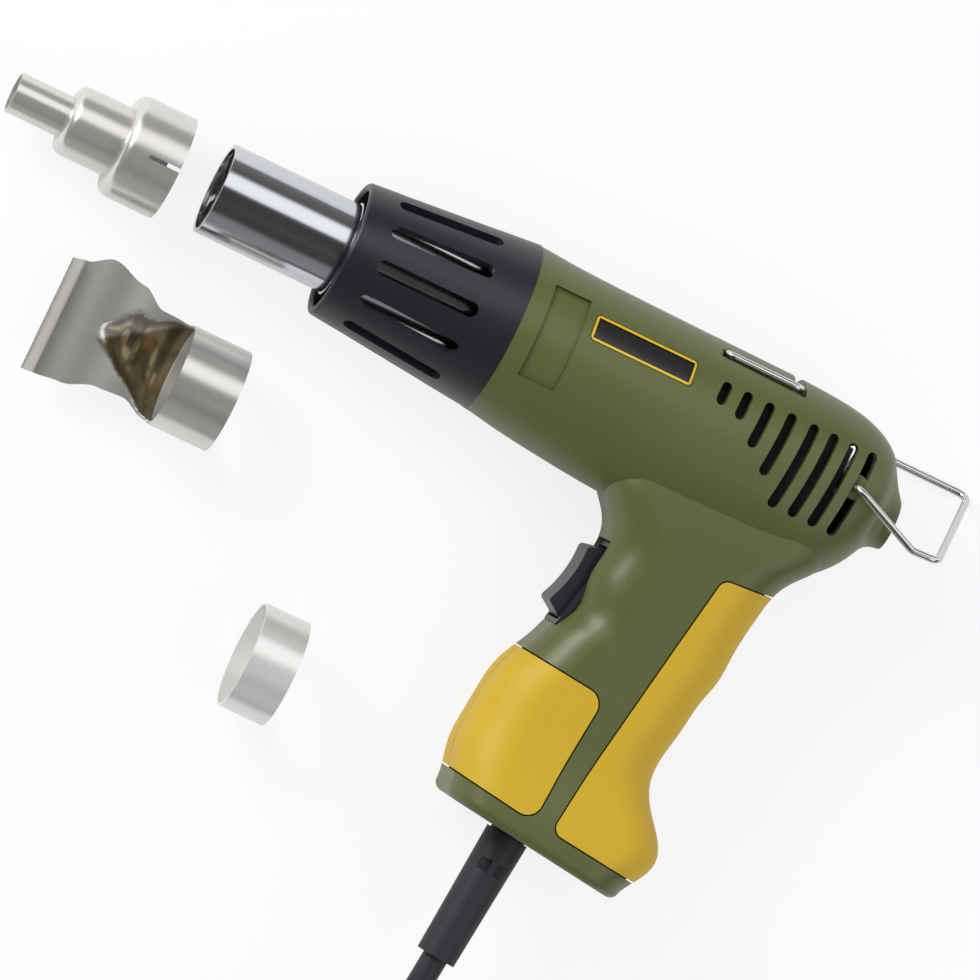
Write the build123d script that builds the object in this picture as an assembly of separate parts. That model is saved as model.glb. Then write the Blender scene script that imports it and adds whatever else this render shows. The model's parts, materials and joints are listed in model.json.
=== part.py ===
from build123d import *
import os
from math import cos, pi, radians, sin, sqrt, tan

# Compact pistol-shaped hot-air tool with three loose nozzles, in millimetres.
# X runs rearward along the barrel from the mouth of the heat tube, Y towards the tool's top.
# Z points up: the tool lies on its right side, and its moulded halves meet at Z = 0.

# Clearances
overrun = 1.0
body_gap = 0.3
running_fit = 0.08
press_gap = 0.05
seat_gap = 0.15

# Heat tube and its perforated guard
tube_radius = 11.5
tube_wall = 0.6
tube_length = 90.0
tube_lip_reach = 0.5
tube_stop_x = 33.5
tube_flange_radius = 16.0
tube_flange_thickness = 1.2
guard_setback = 33.0
guard_length = 43.6
guard_front_radius = 17.2
guard_rear_radius = 21.4
guard_wall = 2.2
guard_spigot_length = 5.0
guard_spigot_wall = 1.8
guard_lip_radius = 0.9
guard_slot_count = 12
guard_slot_length = 26.4
guard_slot_width = 3.7
guard_slot_setback = 7.3

# Moulded housing: barrel part
shell_wall = 2.5
housing_x = guard_setback + guard_length
housing_length = 106.2
barrel_top = 20.8
barrel_drop = 26.4
barrel_half_width = 22.0
# Even stations along the housing, each with its top, drop and half-width
barrel_shares = (
    (1.019, 0.815, 0.969),
    (0.998, 0.856, 0.982),
    (0.981, 0.894, 0.991),
    (0.972, 0.924, 0.996),
    (0.966, 0.951, 1.000),
    (0.962, 0.973, 1.000),
    (0.957, 0.989, 1.000),
    (0.954, 0.996, 1.000),
    (0.951, 1.000, 0.995),
    (0.947, 1.000, 0.986),
    (0.944, 1.000, 0.973),
    (0.932, 1.000, 0.950),
    (0.904, 0.977, 0.905),
    (0.832, 0.871, 0.827),
    (0.644, 0.591, 0.645),
    (0.165, 0.352, 0.280),
)

# Moulded housing: handle part
handle_x = 132.8
handle_length = 114.0
handle_depth = 45.6
handle_half_width = 17.0
handle_corner = 12.0
handle_wall = 3.4
# Each row: way down the handle, forward reach, rearward reach and half-width
handle_shares = (
    (0.070, 0.374, 0.784, 0.853),
    (0.140, 0.452, 0.839, 0.976),
    (0.193, 0.430, 0.801, 1.012),
    (0.228, 0.370, 0.726, 1.018),
    (0.272, 0.287, 0.668, 1.012),
    (0.333, 0.265, 0.637, 1.006),
    (0.421, 0.276, 0.610, 1.000),
    (0.509, 0.325, 0.581, 1.000),
    (0.588, 0.414, 0.541, 1.006),
    (0.667, 0.490, 0.505, 1.012),
    (0.746, 0.510, 0.516, 1.029),
    (0.798, 0.519, 0.596, 1.076),
    (0.851, 0.503, 0.686, 1.165),
    (0.912, 0.470, 0.670, 1.247),
    (1.000, 0.418, 0.626, 1.265),
)
base_y = -109.3
base_tilt = 7.3
foot_edge_radius = 2.2

# Air vents in both sides: place along the barrel, top and foot of each slot
vent_width = 2.7
vent_lean = 6.0
vent_inner_z = 8.0
vent_x = 129.7
vent_pitch = 5.47
vent_top = 11.0
vent_drop = 11.6
vent_foot_shares = (-0.45, -0.34, 0.07, 0.48, 1.00, 1.00, 1.00, 1.00)

# Shallow recess and name plate on the left side
recess_x = 81.5
recess_width = 9.6
recess_top = 14.2
recess_drop = 9.0
recess_depth = 0.8
plate_x = 93.5
plate_length = 26.7
plate_foot = 6.1
plate_height = 6.0
plate_corner = 1.0
plate_thickness = 0.8
plate_border = 0.6
plate_border_height = 0.3

# Rocker switch in the front of the handle
switch_x = 120.2
switch_y = -47.2
switch_lean = 11.6
switch_length = 23.4
switch_width = 17.0
switch_flange = 1.5
switch_rim = 1.0
switch_body_depth = 13.0
rocker_swing_radius = 10.25
rocker_width = 12.8
rocker_proud = 4.5
rocker_half_face = 7.9
rocker_dish = 1.1
rocker_foot_half = 8.2
rocker_foot_depth = 3.0
rocker_pivot_depth = 1.0
rocker_pin_radius = 1.2
terminal_length = 6.0
terminal_width = 4.8
terminal_thickness = 0.8
terminal_pitch = 7.0

# Grip pads let into the handle
pad_depth = 1.8
pad_gap = 0.4
pad_split_gap = 0.25
front_pad_corner = 4.0
rear_pad_corner = 2.5
# Outlines seen from the side: forward or rearward reach from the handle line, and way down it
front_pad_shares = ((-0.640, 0.582), (0.044, 0.611), (-0.035, 0.906), (-0.640, 0.871))
rear_pad_shares = ((0.346, 0.281), (0.900, 0.266), (0.900, 0.947), (0.079, 0.909))

# Screws that join the halves
boss_radius = 3.1
screw_radius = 1.4
screw_head_radius = 2.6
screw_head_height = 1.8
screw_length = 14.0
screw_bite = 9.8
screw_seat = 10.5
# Screws in the barrel: way along it, and height as a share of its top or its drop
barrel_screw_shares = ((0.085, 0.716), (0.085, -0.580), (0.770, 0.687))
# Screws in the handle: reach from the handle line, and way down it
handle_screw_shares = ((0.421, 0.211), (-0.060, 0.566), (0.171, 0.684))

# Wire stands
wire_radius = 0.95
stand_x = 167.8
stand_y = 1.6
stand_half_span = 20.4
stand_end_depth = 6.0
stand_near_bend = (18.3, -7.9)
stand_near_corner = (25.1, -7.6)
stand_far_corner = (34.1, 10.2)
stand_far_bend = (12.5, 10.2)
stand_bend_radius = 2.6
clip_x = 127.4
clip_y = 17.2
clip_length = 19.6
clip_half_span = 10.4
clip_groove_width = 3.2
clip_groove_floor = 15.4
clip_end_depth = 3.0
clip_roof_depth = 3.2
clip_notch_width = 3.0
clip_bend_radius = 1.6

# Heater inside the tube
mica_thickness = 0.7
mica_x = 18.0
mica_length = 58.0
mica_sleeve_thickness = 0.4
mica_sleeve_x = 6.0
mica_sleeve_length = 80.0
winding_radius = 8.6
winding_wire_radius = 0.4
winding_pitch = 5.2
winding_turns = 8
winding_setback = 6.0
cutout_length = 9.0
cutout_width = 5.0
cutout_thickness = 3.0
ring_thickness = 3.0
ring_radius = 17.0
ring_bore = 10.4

# Fan and motor
duct_radius = 17.4
duct_wall = 1.4
duct_length = 30.8
duct_outlet = 10.4
fan_radius = 14.2
fan_hub_radius = 4.2
fan_blade_count = 9
fan_blade_thickness = 1.0
fan_depth = 13.0
fan_plate_thickness = 1.2
fan_setback = 9.0
shaft_radius = 1.2
shaft_nose = 3.0
motor_radius = 12.0
motor_length = 26.0
motor_cap_length = 4.0
motor_boss_radius = 3.2
motor_boss_length = 2.0
motor_mount_thickness = 2.0
motor_mount_arms = 3
motor_arm_width = 6.0
motor_rib_thickness = 1.6
motor_rib_shares = (0.2, 0.8)
duct_rib_shares = (0.1, 0.85)
motor_tag_length = 4.0

# Rectifier board behind the switch
board_thickness = 1.6
board_length = 20.0
board_height = 18.0
board_x = 150.6
board_y = -52.0
board_lean = 9.5
board_rail = 1.6
diode_radius = 1.4
diode_length = 5.2
diode_pitch = 4.4
diode_count = 4
capacitor_radius = 3.6
capacitor_length = 10.0

# Mains lead, its boot and clamp
cord_radius = 3.25
boot_radius = 5.5
boot_tip_radius = 5.0
boot_length = 34.0
boot_groove = 0.9
boot_collar_length = 4.0
boot_x = 131.1
boot_y = -109.3
boot_lean = 5.2
boot_cut_width = 3.0
boot_cut_depth = 1.6
boot_cut_way = 8.8
boot_cut_share = 0.75
clamp_height = 7.0
clamp_thickness = 3.0
clamp_rise = 14.0
clamp_screw_spread = 6.6
lead_stub_length = 22.0

# Loose nozzles, lying beside the tool
nozzle_wall = 0.6
nozzle_socket_radius = 13.0
reducer_x = -52.3
reducer_y = 0.0
reducer_tip_radius = 5.15
reducer_tip_length = 13.8
reducer_middle_radius = 8.8
reducer_middle_length = 14.0
reducer_socket_length = 14.6
reducer_shoulder = 2.6
reducer_slit_width = 1.0
reducer_slit_length = 8.0
scoop_y = -44.5
scoop_x = 26.1
scoop_socket_length = 15.2
scoop_trough_length = 33.0
# Each row of the trough: way to its end, half-width and depth over the socket's radius
scoop_shares = (
    (0.00, 1.000, 1.000),
    (0.20, 1.015, 0.940),
    (0.40, 1.050, 0.820),
    (0.60, 1.110, 0.670),
    (0.80, 1.200, 0.510),
    (1.00, 1.246, 0.385),
)
slot_nozzle_y = -97.5
slot_nozzle_x = 9.0
slot_nozzle_length = 58.0
slot_widest_half_width = 28.0
slot_socket_radius = 13.5
slot_seam_thickness = 1.8
wide_socket_length = 11.6
# Each row of the wide nozzle: way from its slot, half-width and half-height
wide_shares = (
    (0.000, 0.775, 0.190),
    (0.200, 0.880, 0.300),
    (0.400, 0.760, 0.510),
    (0.600, 0.610, 0.740),
    (0.800, 0.471, 0.978),
)
wide_seam_shares = ((0.000, 0.893), (0.241, 1.000), (0.776, 0.560), (0.776, 0.400))

# The surface that everything lies on
floor_z = -barrel_half_width

# The lead's route outside the boot, laid by hand from the boot's end to the coil
lead_points = [
    (128.0, -143.2, 0),
    (125.3, -174.0, -1.2),
    (123.2, -205.0, -14.6),
    (122.0, -236.0, -18.5),
    (122.0, -257.5, -18.75),
]
# The put-away coil
coil_x = 84.0
coil_y = -264.0
coil_z = floor_z + cord_radius
coil_radius = 38.0
coil_turns = 7
coil_layers = 4
coil_pitch = 7.1
# From the coil's top layer to the plug
tail_points = [
    (122.0, -270.5, 2.55),
    (121.5, -293.5, 0),
    (105.0, -312.5, -12.0),
    (78.0, -317.5, -15.3),
    (58.0, -317.5, -15.3),
]
plug_length = 36.0
plug_width = 34.0
plug_height = 13.4
plug_corner_share = 0.42
# Each row of the plug: way along it, width and height
plug_shares = ((0.0, 0.30, 0.72), (0.3, 0.42, 0.84), (0.6, 0.86, 0.98), (1.0, 1.0, 1.0))
plug_pin_radius = 2.0
plug_pin_length = 19.0
plug_pin_spread = 9.3


def revolve_along_x(profile, x=0.0, y=0.0, z=0.0):
    """Turn a list of (way, radius) points into a solid round a line along X."""
    outline = Polyline(*[(way, radius, 0) for way, radius in profile], close=True)
    solid = revolve(make_face(outline), axis=Axis.X)
    return Pos(x, y, z) * solid


def mirror_z(solid):
    return mirror(solid, about=Plane.XY)


def barrel_form(inset=0.0):
    """The barrel of the housing, drawn in by inset on every side but its open front."""
    sections = []
    step = (housing_length - inset) / (len(barrel_shares) - 1)
    for index, (top_share, drop_share, width_share) in enumerate(barrel_shares):
        top = barrel_top * top_share - inset
        drop = barrel_drop * drop_share - inset
        half_width = barrel_half_width * width_share - inset
        x = housing_x + step * index
        frame = Plane(origin=(x, (top - drop) / 2, 0), x_dir=(0, 1, 0), z_dir=(1, 0, 0))
        sections.append(frame * Ellipse((top + drop) / 2, half_width))
    return loft(sections)


def handle_form(inset=0.0):
    """The handle and its flared foot, drawn in by inset, before its base is cut."""
    sections = []
    for way, front_share, rear_share, width_share in handle_shares:
        front = handle_x - handle_depth * front_share + inset
        rear = handle_x + handle_depth * rear_share - inset
        half_width = handle_half_width * width_share - inset
        frame = Plane(origin=((front + rear) / 2, -handle_length * way, 0), x_dir=(1, 0, 0), z_dir=(0, -1, 0))
        sections.append(frame * RectangleRounded(rear - front, half_width * 2, handle_corner - inset))
    return loft(sections)


def base_plane(rise=0.0):
    """The plane of the handle's sloping base, facing down, moved up by rise."""
    down = (-sin(radians(base_tilt)), -cos(radians(base_tilt)), 0)
    return Plane(origin=(handle_x, base_y, 0), x_dir=(0, 0, 1), z_dir=down).offset(-rise)


def switch_plane():
    """The plane of the rocker's opening: X down the handle, Z out of its front."""
    lean = radians(switch_lean)
    down = (-sin(lean), -cos(lean), 0)
    return Plane(origin=(switch_x, switch_y, 0), x_dir=down, z_dir=(-cos(lean), sin(lean), 0))


def boot_plane():
    """The plane where the lead leaves the base, facing the way that the lead goes."""
    lean = radians(boot_lean)
    way = (-sin(lean), -cos(lean), 0)
    return Plane(origin=(boot_x, boot_y, 0), x_dir=(cos(lean), -sin(lean), 0), z_dir=way)


def outer_form():
    body = barrel_form() + handle_form()
    body = split(body, bisect_by=base_plane(), keep=Keep.BOTTOM)
    foot = base_plane()
    edges = []
    for edge in body.edges():
        ways = [(edge.position_at(way) - foot.origin).dot(foot.z_dir) for way in (0, 1)]
        if max(abs(way) for way in ways) < seat_gap:
            edges.append(edge)
    return fillet(edges, foot_edge_radius)


def hollow_form():
    handle = split(handle_form(handle_wall), bisect_by=base_plane(shell_wall), keep=Keep.BOTTOM)
    hollow = barrel_form(shell_wall) + handle
    roof_width = 2 * (clip_half_span + clip_groove_width)
    roof_length = clip_length + 2 * clip_groove_width
    roof_floor = clip_groove_floor - clip_roof_depth
    roof = Box(roof_length, barrel_top, roof_width, align=(Align.MIN, Align.MIN, Align.CENTER))
    return hollow - Pos(clip_x - clip_groove_width, roof_floor, 0) * roof


def screw_places():
    places = []
    for way, height in barrel_screw_shares:
        reach = barrel_top if height > 0 else barrel_drop
        places.append((housing_x + housing_length * way, reach * height))
    for reach, way in handle_screw_shares:
        places.append((handle_x + handle_depth * reach, -handle_length * way))
    return places


def screw_bosses(side):
    """The posts of one shell, from the middle of the housing out; side is 1 on the left and -1 on the right."""
    posts = []
    for x, y in screw_places():
        height = barrel_half_width * side
        posts.append(Pos(x, y, height / 2) * Cylinder(boss_radius, abs(height)))
    return Part() + posts


def vent_cuts():
    """The slanting slots through one side, with rounded ends."""
    cuts = []
    for index, foot_share in enumerate(vent_foot_shares):
        foot = -vent_drop * foot_share
        length = vent_top - foot
        slot = SlotOverall(length, vent_width, rotation=90 - vent_lean)
        x = vent_x + vent_pitch * index - (vent_top + foot) / 2 * tan(radians(vent_lean))
        cut = extrude(slot, barrel_half_width)
        cuts.append(Pos(x, (vent_top + foot) / 2, vent_inner_z) * cut)
    return Part() + cuts


def pad_outline(shares):
    points = []
    for reach, way in shares:
        points.append((handle_x + handle_depth * reach, -handle_length * way))
    return points


def pad_prism(shares, corner, gap=0.0):
    """An outline of a pad seen from the side, through the whole handle, grown by gap."""
    face = make_face(FilletPolyline(*[(x, y, 0) for x, y in pad_outline(shares)], radius=corner, close=True))
    if gap > 0:
        face = offset(face, gap)
    return extrude(face, handle_depth, both=True)


def pad_prisms(gap=0.0):
    front = pad_prism(front_pad_shares, front_pad_corner, gap)
    rear = pad_prism(rear_pad_shares, rear_pad_corner, gap)
    return front, rear


def wire_path(points, radius):
    return FilletPolyline(*points, radius=radius)


def round_wire(points, radius, wire):
    """Sweep a round wire along straight runs joined by arcs."""
    path = wire_path(points, radius)
    start = Plane(origin=path @ 0, z_dir=path % 0)
    return sweep(start * Circle(wire), path=path)


def stand_points():
    """The rear wire stand: both ends in the housing, its legs bent, its base across the back."""
    span = stand_half_span
    inner = span - stand_end_depth
    points = [(stand_x, stand_y, inner), (stand_x, stand_y, span)]
    for reach, rise in (stand_near_bend, stand_near_corner):
        points.append((stand_x + reach, stand_y + rise, span))
    for reach, rise in (stand_far_corner, stand_far_bend):
        points.append((stand_x + reach, stand_y + rise, -span))
    points.append((stand_x, stand_y, -span))
    points.append((stand_x, stand_y, -inner))
    return points


def clip_points():
    """The small wire folded into the top: both legs in their grooves, its base across the notch."""
    span = clip_half_span
    inner = span - clip_end_depth
    rear = clip_x + clip_length
    return [
        (clip_x, clip_y, inner),
        (clip_x, clip_y, span),
        (rear, clip_y, span),
        (rear, clip_y, -span),
        (clip_x, clip_y, -span),
        (clip_x, clip_y, -inner),
    ]


def clip_grooves():
    """Open grooves for the folded wire's legs, and the notch across the top for its base."""
    length = clip_length + clip_groove_width
    groove = Box(length, barrel_top, clip_groove_width, align=(Align.MIN, Align.MIN, Align.CENTER))
    cuts = []
    for side in (1, -1):
        cuts.append(Pos(clip_x - clip_groove_width / 2, clip_groove_floor, side * clip_half_span) * groove)
    notch_width = 2 * clip_half_span + clip_groove_width
    notch = Box(clip_notch_width, barrel_top, notch_width, align=(Align.CENTER, Align.MIN, Align.CENTER))
    cuts.append(Pos(clip_x + clip_length, clip_groove_floor, 0) * notch)
    pivot = Cylinder(wire_radius + running_fit, 2 * clip_half_span)
    cuts.append(Pos(clip_x, clip_y, 0) * pivot)
    return Part() + cuts


def name_plate_cut(gap=0.0):
    """The pocket of the bare plate in the left side of the barrel."""
    size = RectangleRounded(plate_length + 2 * gap, plate_height + 2 * gap, plate_corner)
    cut = extrude(size, barrel_half_width)
    return Pos(plate_x + plate_length / 2, plate_foot + plate_height / 2, 0) * cut


def shell_skin_cut(depth):
    """What lies outside the barrel's surface drawn in by depth."""
    block = Box(2 * housing_length, 4 * barrel_drop, 4 * barrel_half_width)
    return Pos(housing_x + housing_length / 2, 0, 0) * block - barrel_form(depth)


def ring_rib(x, thickness, radius):
    """A rib across the hollow that holds a round piece of the given radius."""
    reach = 2 * barrel_half_width
    plate = Box(thickness, 2 * reach, 2 * reach, align=(Align.MIN, Align.CENTER, Align.CENTER))
    hole = Cylinder(radius + seat_gap, 4 * reach, rotation=(0, 90, 0))
    keep_in = Box(thickness, barrel_top + barrel_drop, 4 * reach, align=(Align.MIN, Align.CENTER, Align.CENTER))
    return Pos(x, 0, 0) * ((plate & keep_in) - hole)


def board_plane():
    lean = radians(board_lean)
    down = (-sin(lean), -cos(lean), 0)
    return Plane(origin=(board_x, board_y, 0), x_dir=down, z_dir=(-cos(lean), sin(lean), 0))


def board_rails():
    rail = Box(board_length / 2, 4 * barrel_half_width, board_thickness + 2 * board_rail)
    gap = Box(2 * board_length, board_height - 2 * board_rail, 2 * board_height)
    slot = Box(board_length + 2 * seat_gap, board_height + 2 * seat_gap, board_thickness + 2 * seat_gap)
    return board_plane() * (rail - gap - slot)


def clamp_block():
    """The cradle on the right shell that the lead lies in, with its two screw posts."""
    width = 2 * (clamp_screw_spread + screw_radius + clamp_thickness / 2)
    tall = barrel_half_width * 2
    block = Pos(0, 0, 0) * Box(width, tall, clamp_height)
    lift = Pos(0, cord_radius - tall / 2, -clamp_rise) * block
    channel = Cylinder(cord_radius + seat_gap, 4 * clamp_rise)
    mouth = Pos(0, cord_radius, 0) * Box(2 * (cord_radius + seat_gap), 2 * cord_radius, 4 * clamp_rise)
    holes = []
    for side in (1, -1):
        hole = Cylinder(screw_radius, screw_length, rotation=(90, 0, 0))
        holes.append(Pos(side * clamp_screw_spread, cord_radius, -clamp_rise) * hole)
    return boot_plane() * (lift - channel - mouth - (Part() + holes))


def housing_form(outer, hollow):
    """Both halves of the housing in one, with what is alike on both sides."""
    ribs = board_rails()
    motor_x = tube_length + ring_thickness + duct_length
    for share in motor_rib_shares:
        ribs = ribs + ring_rib(motor_x + motor_length * share, motor_rib_thickness, motor_radius)
    for share in duct_rib_shares:
        rib_x = tube_length + ring_thickness + duct_length * share
        ribs = ribs + ring_rib(rib_x, motor_rib_thickness, duct_radius)
    for side in (1, -1):
        ribs = ribs + screw_bosses(side)
    body = (outer - hollow) + (ribs & hollow)
    skin = handle_form(pad_depth + seat_gap)
    for prism in pad_prisms(pad_gap):
        body = body - (prism - skin)
    neck = boot_radius - boot_groove + seat_gap
    return body - switch_opening() - clip_grooves() - boot_plane() * Cylinder(neck, 4 * shell_wall)


def shell(side, outer, hollow, housing):
    """One moulded half of the housing: side is 1 on the left and -1 on the right."""
    keep = Keep.TOP if side > 0 else Keep.BOTTOM
    body = split(housing, bisect_by=Plane.XY, keep=keep)
    vents = vent_cuts()
    if side < 0:
        vents = mirror_z(vents)
        body = body + (clamp_block() & hollow)
    body = body - vents
    post_reach = stand_half_span - stand_end_depth + shell_wall
    post = Pos(stand_x, stand_y, side * post_reach / 2) * Cylinder(boss_radius, post_reach)
    body = body + (post & outer)
    pivot = Cylinder(wire_radius + running_fit, stand_end_depth + shell_wall)
    pivot_middle = stand_half_span - (stand_end_depth + shell_wall) / 2 + shell_wall
    body = body - Pos(stand_x, stand_y, side * pivot_middle) * pivot
    if side > 0:
        body = body - (name_plate_cut(seat_gap) & shell_skin_cut(plate_thickness))
        low = (Align.MIN, Align.MIN, Align.MIN)
        recess = Box(recess_width, recess_top + recess_drop, barrel_half_width * 2, align=low)
        body = body - (Pos(recess_x, -recess_drop, 0) * recess & shell_skin_cut(recess_depth))
    for x, y in screw_places():
        hole_radius = screw_radius if side > 0 else screw_radius + seat_gap
        hole_length = screw_bite if side > 0 else screw_length
        body = body - Pos(x, y, side * hole_length / 2) * Cylinder(hole_radius, hole_length)
        if side < 0:
            well = Cylinder(screw_head_radius + seat_gap, barrel_half_width)
            body = body - Pos(x, y, -screw_seat - barrel_half_width / 2) * well
    return body


def switch_opening():
    """The hole for the switch: a shallow seat for its flange, and a deeper well for its body."""
    low = (Align.CENTER, Align.CENTER, Align.MIN)
    seat = Box(switch_length + 2 * seat_gap, switch_width + 2 * seat_gap, 2 * rocker_proud, align=low)
    well_length = switch_length - 2 * switch_flange
    well_width = switch_width - 2 * switch_flange
    well = Box(well_length + 2 * seat_gap, well_width + 2 * seat_gap, 2 * (switch_body_depth + seat_gap))
    return switch_plane() * (Pos(0, 0, -switch_flange) * seat + well)


def grip_pad(prism, side):
    """One half of a soft pad, flush with the handle, its split at the middle kept open."""
    pad = (outer_handle & prism) - pad_floor
    half = Box(4 * handle_depth, 4 * handle_length, 2 * handle_half_width, align=(Align.CENTER, Align.CENTER, Align.MIN))
    if side < 0:
        half = mirror_z(half)
    return Pos(handle_x, 0, side * pad_split_gap) * half & pad


def heat_guard():
    """The black conical guard: slots round it, a spigot in the housing's mouth and a web round the tube."""
    inner_front = guard_front_radius - guard_wall
    inner_rear = guard_rear_radius - guard_wall
    end = guard_setback + guard_length
    profile = [
        (guard_setback, guard_front_radius),
        (end, guard_rear_radius),
        (end, inner_rear),
        (guard_setback, inner_front),
    ]
    cone = revolve_along_x(profile)
    front = cone.edges().filter_by(GeomType.CIRCLE).sort_by(Axis.X)[:2]
    cone = fillet(front, guard_lip_radius)
    spigot_radius = guard_rear_radius - shell_wall - body_gap
    spigot_end = end + guard_spigot_length
    spigot = [
        (end - guard_wall, inner_rear + press_gap),
        (end, inner_rear + press_gap),
        (end, spigot_radius),
        (spigot_end, spigot_radius),
        (spigot_end, tube_radius + seat_gap),
        (spigot_end - guard_spigot_wall, tube_radius + seat_gap),
        (spigot_end - guard_spigot_wall, spigot_radius - guard_spigot_wall),
        (end - guard_wall, spigot_radius - guard_spigot_wall),
    ]
    body = cone + revolve_along_x(spigot)
    middle = guard_setback + guard_slot_setback + guard_slot_length / 2
    slot = extrude(SlotOverall(guard_slot_length, guard_slot_width), guard_rear_radius)
    cut = Pos(middle, 0, tube_radius) * slot
    cuts = [Rot(360 / guard_slot_count * index, 0, 0) * cut for index in range(guard_slot_count)]
    return body - (Part() + cuts)


def heat_tube():
    """The bright tube: a lip rolled inwards, a bead that stops the nozzles, and a flange on the duct."""
    inner = tube_radius - tube_wall
    lip = inner - tube_lip_reach
    profile = [
        (0, lip),
        (0, tube_radius),
        (tube_stop_x, tube_radius),
        (tube_stop_x, tube_radius + tube_lip_reach),
        (tube_stop_x + tube_flange_thickness, tube_radius + tube_lip_reach),
        (tube_stop_x + tube_flange_thickness, tube_radius),
        (tube_length - tube_flange_thickness, tube_radius),
        (tube_length - tube_flange_thickness, tube_flange_radius),
        (tube_length, tube_flange_radius),
        (tube_length, inner),
        (tube_wall * 2, inner),
        (tube_wall, lip),
    ]
    return revolve_along_x(profile)


def mica_sleeve():
    outer = tube_radius - tube_wall - press_gap
    inner = outer - mica_sleeve_thickness
    end = mica_sleeve_x + mica_sleeve_length
    return revolve_along_x([(mica_sleeve_x, inner), (mica_sleeve_x, outer), (end, outer), (end, inner)])


def mica_cross():
    """Two crossed plates that carry the winding; wide ends seat them in the sleeve."""
    narrow = winding_radius - winding_wire_radius - seat_gap
    wide = tube_radius - tube_wall - mica_sleeve_thickness - 2 * seat_gap
    run = Box(mica_length, 2 * narrow, mica_thickness, align=(Align.MIN, Align.CENTER, Align.CENTER))
    tail_length = mica_length - winding_setback - winding_pitch * (winding_turns + 1)
    ends = Box(tail_length, 2 * wide, mica_thickness, align=(Align.MAX, Align.CENTER, Align.CENTER))
    nose = Box(winding_setback / 2, 2 * wide, mica_thickness, align=(Align.MIN, Align.CENTER, Align.CENTER))
    plate = Pos(mica_x, 0, 0) * (run + Pos(mica_length, 0, 0) * ends + nose)
    return plate + Rot(90, 0, 0) * plate


def biarc(start, start_way, end, end_way):
    """Two arcs that leave start along start_way and reach end along end_way."""
    span = end - start
    turn = 1 - start_way.dot(end_way)
    push = span.dot(start_way + end_way)
    reach = (sqrt(push * push + 2 * turn * span.dot(span)) - push) / (2 * turn)
    first = start + start_way * reach
    last = end - end_way * reach
    joint = (first + last) / 2
    return [TangentArc(start, joint, tangent=start_way), TangentArc(joint, end, tangent=last - first)]


def arcs_through(points, ways):
    edges = []
    for index in range(len(points) - 1):
        edges += biarc(points[index], ways[index], points[index + 1], ways[index + 1])
    return edges


def sweep_wire(edges, radius):
    path = Wire(edges)
    frame = Plane(origin=path @ 0, z_dir=path % 0)
    return sweep(frame * Circle(radius), path=path)


def heater_winding():
    """The resistance wire wound round the cross in one helix."""
    points = []
    ways = []
    start_x = mica_x + winding_setback
    quarters = winding_turns * 4
    for index in range(quarters + 1):
        angle = pi / 2 * index
        x = start_x + winding_pitch * index / 4
        points.append(Vector(x, winding_radius * cos(angle), winding_radius * sin(angle)))
        way = Vector(winding_pitch / (2 * pi), -winding_radius * sin(angle), winding_radius * cos(angle))
        ways.append(way.normalized())
    return sweep_wire(arcs_through(points, ways), winding_wire_radius)


def thermal_cutout():
    """The cut-out clipped behind the cross, beside one of its plates."""
    x = mica_x + mica_length - cutout_length
    box = Box(cutout_length, cutout_width, cutout_thickness, align=(Align.MIN, Align.MIN, Align.MIN))
    return Pos(x, mica_thickness / 2, mica_thickness / 2) * box


def insulating_ring():
    end = tube_length + ring_thickness
    start = tube_length
    profile = [(start, ring_bore), (start, ring_radius), (end, ring_radius), (end, ring_bore)]
    return revolve_along_x(profile)


def fan_duct():
    """The drum round the fan: an outlet to the tube in front, a spider that carries the motor behind."""
    start = tube_length + ring_thickness
    end = start + duct_length
    inner = duct_radius - duct_wall
    profile = [
        (start, duct_outlet),
        (start, duct_radius),
        (end, duct_radius),
        (end, inner),
        (start + duct_wall, inner),
        (start + duct_wall, duct_outlet),
    ]
    drum = revolve_along_x(profile)
    outward = (Align.MAX, Align.MIN, Align.CENTER)
    arm = Box(motor_mount_thickness, inner + duct_wall / 2, motor_arm_width, align=outward)
    spider = Cylinder(motor_radius / 2, motor_mount_thickness, rotation=(0, 90, 0))
    body = drum + Pos(end - motor_mount_thickness / 2, 0, 0) * spider
    for index in range(motor_mount_arms):
        body = body + Rot(360 / motor_mount_arms * index, 0, 0) * Pos(end, 0, 0) * arm
    hole = Cylinder(motor_boss_radius + press_gap, 4 * motor_mount_thickness, rotation=(0, 90, 0))
    return body - Pos(end, 0, 0) * hole


def fan_rotor():
    """The impeller: a hub, a back plate and straight blades round it."""
    start = tube_length + ring_thickness + fan_setback
    end = start + fan_depth
    hub = revolve_along_x([(start, shaft_radius), (start, fan_hub_radius), (end, fan_hub_radius), (end, shaft_radius)])
    plate_x = end - fan_plate_thickness
    plate = revolve_along_x([(plate_x, shaft_radius), (plate_x, fan_radius), (end, fan_radius), (end, shaft_radius)])
    body = hub + plate
    reach = fan_radius - fan_hub_radius / 2
    low = (Align.MIN, Align.MIN, Align.CENTER)
    blade = Pos(start, fan_hub_radius / 2, 0) * Box(fan_depth, reach, fan_blade_thickness, align=low)
    bore = Cylinder(shaft_radius, 4 * fan_depth, rotation=(0, 90, 0))
    blades = [Rot(360 / fan_blade_count * index, 0, 0) * blade for index in range(fan_blade_count)]
    return body + blades - Pos(end, 0, 0) * bore


def motor_shaft():
    start = tube_length + ring_thickness + fan_setback - shaft_nose
    motor_x = tube_length + ring_thickness + duct_length
    end = motor_x + motor_length - shaft_nose
    return revolve_along_x([(start, 0), (start, shaft_radius), (end, shaft_radius), (end, 0)])


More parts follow.
